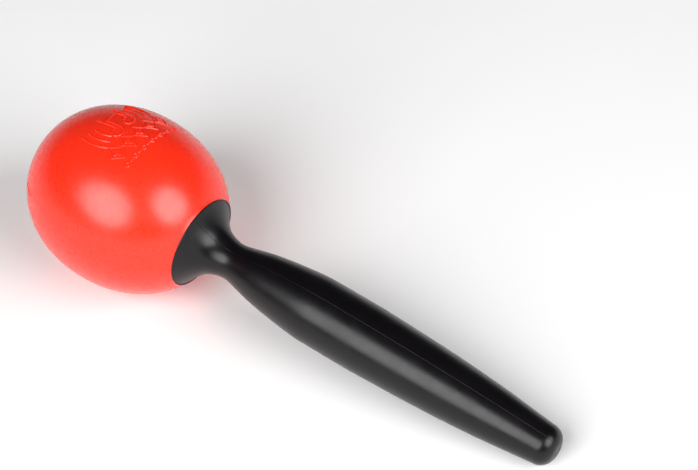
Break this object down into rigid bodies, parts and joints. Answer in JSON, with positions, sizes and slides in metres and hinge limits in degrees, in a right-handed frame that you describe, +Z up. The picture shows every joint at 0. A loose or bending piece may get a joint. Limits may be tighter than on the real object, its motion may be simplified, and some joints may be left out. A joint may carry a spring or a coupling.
{
  "type": "egg shaker with handle",
  "caption": "Maraca-style egg shaker: hollow moulded egg head holding loose steel shot, on a flared and tapered hollow handle made of two half shells.",
  "frame": {"origin": "on the ground under the middle of the shaker's length, width and height box, as it lies at rest", "axes": "+X runs from the egg to the butt of the handle along the ground, +Z is up, +Y is to the left seen from the egg"},
  "size_m": [0.2016, 0.06, 0.0604],
  "materials": {
    "egg_red": "moulded red plastic, gloss with a faint pebble",
    "handle_black": "moulded black plastic, satin gloss",
    "shot_steel": "plain ground steel balls"
  },
  "bodies": {
    "shaker": {"egg_shell": "egg_red", "handle_half_left": "handle_black", "handle_half_right": "handle_black"},
    "shot_01": {"shot_01": "shot_steel"},
    "shot_02": {"shot_02": "shot_steel"},
    "shot_03": {"shot_03": "shot_steel"},
    "shot_04": {"shot_04": "shot_steel"},
    "shot_05": {"shot_05": "shot_steel"},
    "shot_06": {"shot_06": "shot_steel"},
    "shot_07": {"shot_07": "shot_steel"},
    "shot_08": {"shot_08": "shot_steel"},
    "shot_09": {"shot_09": "shot_steel"},
    "shot_10": {"shot_10": "shot_steel"},
    "shot_11": {"shot_11": "shot_steel"},
    "shot_12": {"shot_12": "shot_steel"},
    "shot_13": {"shot_13": "shot_steel"},
    "shot_14": {"shot_14": "shot_steel"},
    "shot_15": {"shot_15": "shot_steel"},
    "shot_16": {"shot_16": "shot_steel"},
    "shot_17": {"shot_17": "shot_steel"},
    "shot_18": {"shot_18": "shot_steel"},
    "shot_19": {"shot_19": "shot_steel"},
    "shot_20": {"shot_20": "shot_steel"},
    "shot_21": {"shot_21": "shot_steel"},
    "shot_22": {"shot_22": "shot_steel"},
    "shot_23": {"shot_23": "shot_steel"},
    "shot_24": {"shot_24": "shot_steel"},
    "shot_25": {"shot_25": "shot_steel"},
    "shot_26": {"shot_26": "shot_steel"},
    "shot_27": {"shot_27": "shot_steel"},
    "shot_28": {"shot_28": "shot_steel"},
    "shot_29": {"shot_29": "shot_steel"},
    "shot_30": {"shot_30": "shot_steel"},
    "shot_31": {"shot_31": "shot_steel"},
    "shot_32": {"shot_32": "shot_steel"},
    "shot_33": {"shot_33": "shot_steel"},
    "shot_34": {"shot_34": "shot_steel"},
    "shot_35": {"shot_35": "shot_steel"},
    "shot_36": {"shot_36": "shot_steel"},
    "shot_37": {"shot_37": "shot_steel"}
  },
  "joints": [
    {"name": "shot_01_throw", "type": "slide", "parent": "shaker", "child": "shot_01", "axis": [0, 0, 1], "range_m": [0, 0.04919]},
    {"name": "shot_02_throw", "type": "slide", "parent": "shaker", "child": "shot_02", "axis": [0, 0, 1], "range_m": [0, 0.04973]},
    {"name": "shot_03_throw", "type": "slide", "parent": "shaker", "child": "shot_03", "axis": [0, 0, 1], "range_m": [0, 0.04973]},
    {"name": "shot_04_throw", "type": "slide", "parent": "shaker", "child": "shot_04", "axis": [0, 0, 1], "range_m": [0, 0.04881]},
    {"name": "shot_05_throw", "type": "slide", "parent": "shaker", "child": "shot_05", "axis": [0, 0, 1], "range_m": [0, 0.05115]},
    {"name": "shot_06_throw", "type": "slide", "parent": "shaker", "child": "shot_06", "axis": [0, 0, 1], "range_m": [0, 0.04881]},
    {"name": "shot_07_throw", "type": "slide", "parent": "shaker", "child": "shot_07", "axis": [0, 0, 1], "range_m": [0, 0.04635]},
    {"name": "shot_08_throw", "type": "slide", "parent": "shaker", "child": "shot_08", "axis": [0, 0, 1], "range_m": [0, 0.05115]},
    {"name": "shot_09_throw", "type": "slide", "parent": "shaker", "child": "shot_09", "axis": [0, 0, 1], "range_m": [0, 0.05115]},
    {"name": "shot_10_throw", "type": "slide", "parent": "shaker", "child": "shot_10", "axis": [0, 0, 1], "range_m": [0, 0.04635]},
    {"name": "shot_11_throw", "type": "slide", "parent": "shaker", "child": "shot_11", "axis": [0, 0, 1], "range_m": [0, 0.04974]},
    {"name": "shot_12_throw", "type": "slide", "parent": "shaker", "child": "shot_12", "axis": [0, 0, 1], "range_m": [0, 0.05204]},
    {"name": "shot_13_throw", "type": "slide", "parent": "shaker", "child": "shot_13", "axis": [0, 0, 1], "range_m": [0, 0.04974]},
    {"name": "shot_14_throw", "type": "slide", "parent": "shaker", "child": "shot_14", "axis": [0, 0, 1], "range_m": [0, 0.04681]},
    {"name": "shot_15_throw", "type": "slide", "parent": "shaker", "child": "shot_15", "axis": [0, 0, 1], "range_m": [0, 0.05157]},
    {"name": "shot_16_throw", "type": "slide", "parent": "shaker", "child": "shot_16", "axis": [0, 0, 1], "range_m": [0, 0.05157]},
    {"name": "shot_17_throw", "type": "slide", "parent": "shaker", "child": "shot_17", "axis": [0, 0, 1], "range_m": [0, 0.04681]},
    {"name": "shot_18_throw", "type": "slide", "parent": "shaker", "child": "shot_18", "axis": [0, 0, 1], "range_m": [0, 0.04968]},
    {"name": "shot_19_throw", "type": "slide", "parent": "shaker", "child": "shot_19", "axis": [0, 0, 1], "range_m": [0, 0.05199]},
    {"name": "shot_20_throw", "type": "slide", "parent": "shaker", "child": "shot_20", "axis": [0, 0, 1], "range_m": [0, 0.04968]},
    {"name": "shot_21_throw", "type": "slide", "parent": "shaker", "child": "shot_21", "axis": [0, 0, 1], "range_m": [0, 0.04622]},
    {"name": "shot_22_throw", "type": "slide", "parent": "shaker", "child": "shot_22", "axis": [0, 0, 1], "range_m": [0, 0.05104]},
    {"name": "shot_23_throw", "type": "slide", "parent": "shaker", "child": "shot_23", "axis": [0, 0, 1], "range_m": [0, 0.05104]},
    {"name": "shot_24_throw", "type": "slide", "parent": "shaker", "child": "shot_24", "axis": [0, 0, 1], "range_m": [0, 0.04622]},
    {"name": "shot_25_throw", "type": "slide", "parent": "shaker", "child": "shot_25", "axis": [0, 0, 1], "range_m": [0, 0.04864]},
    {"name": "shot_26_throw", "type": "slide", "parent": "shaker", "child": "shot_26", "axis": [0, 0, 1], "range_m": [0, 0.05099]},
    {"name": "shot_27_throw", "type": "slide", "parent": "shaker", "child": "shot_27", "axis": [0, 0, 1], "range_m": [0, 0.04864]},
    {"name": "shot_28_throw", "type": "slide", "parent": "shaker", "child": "shot_28", "axis": [0, 0, 1], "range_m": [0, 0.04456]},
    {"name": "shot_29_throw", "type": "slide", "parent": "shaker", "child": "shot_29", "axis": [0, 0, 1], "range_m": [0, 0.04953]},
    {"name": "shot_30_throw", "type": "slide", "parent": "shaker", "child": "shot_30", "axis": [0, 0, 1], "range_m": [0, 0.04953]},
    {"name": "shot_31_throw", "type": "slide", "parent": "shaker", "child": "shot_31", "axis": [0, 0, 1], "range_m": [0, 0.04456]},
    {"name": "shot_32_throw", "type": "slide", "parent": "shaker", "child": "shot_32", "axis": [0, 0, 1], "range_m": [0, 0.04651]},
    {"name": "shot_33_throw", "type": "slide", "parent": "shaker", "child": "shot_33", "axis": [0, 0, 1], "range_m": [0, 0.04896]},
    {"name": "shot_34_throw", "type": "slide", "parent": "shaker", "child": "shot_34", "axis": [0, 0, 1], "range_m": [0, 0.04651]},
    {"name": "shot_35_throw", "type": "slide", "parent": "shaker", "child": "shot_35", "axis": [0, 0, 1], "range_m": [0, 0.04687]},
    {"name": "shot_36_throw", "type": "slide", "parent": "shaker", "child": "shot_36", "axis": [0, 0, 1], "range_m": [0, 0.04687]},
    {"name": "shot_37_throw", "type": "slide", "parent": "shaker", "child": "shot_37", "axis": [0, 0, 1], "range_m": [0, 0.04568]}
  ]
}
